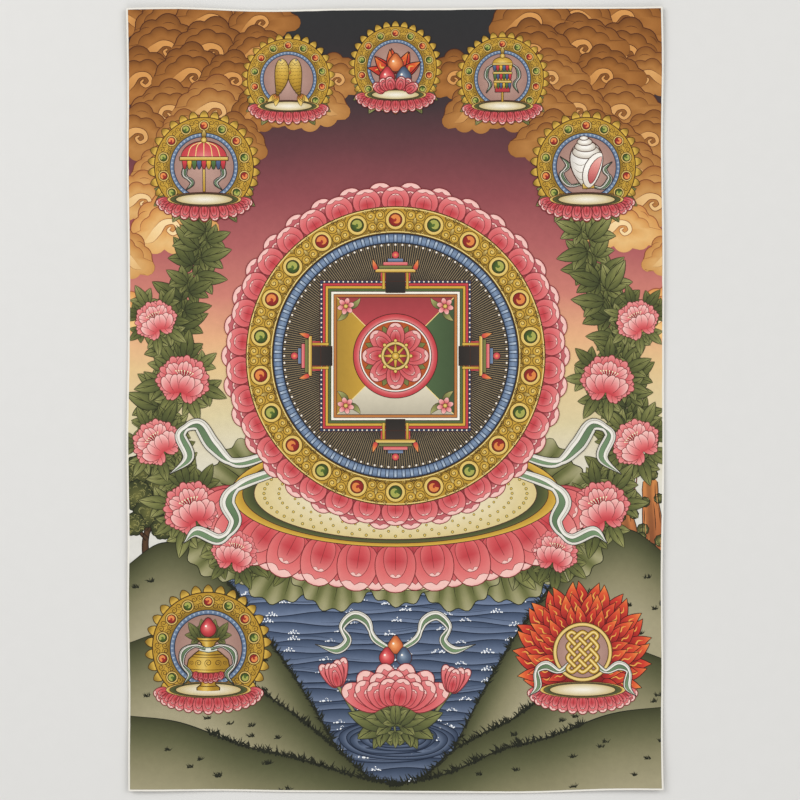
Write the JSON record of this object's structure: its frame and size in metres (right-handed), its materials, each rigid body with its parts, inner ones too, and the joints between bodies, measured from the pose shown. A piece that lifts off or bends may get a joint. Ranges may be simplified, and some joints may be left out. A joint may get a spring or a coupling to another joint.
{
  "type": "unmounted thangka painting on canvas",
  "caption": "Tall painted cotton canvas with a thin bare cut edge, lying flat and face up, its rim lifting slightly in slow waves.",
  "frame": {"origin": "under the middle of the sheet, at the height of the surface it lies on", "axes": "+Y towards the picture's top, +X towards its right, +Z out of its painted face"},
  "size_m": [0.5626, 0.823, 0.0062],
  "materials": {
    "painted_canvas": "matte"
  },
  "bodies": {
    "root": {"painted_canvas": "painted_canvas"}
  },
  "joints": []
}
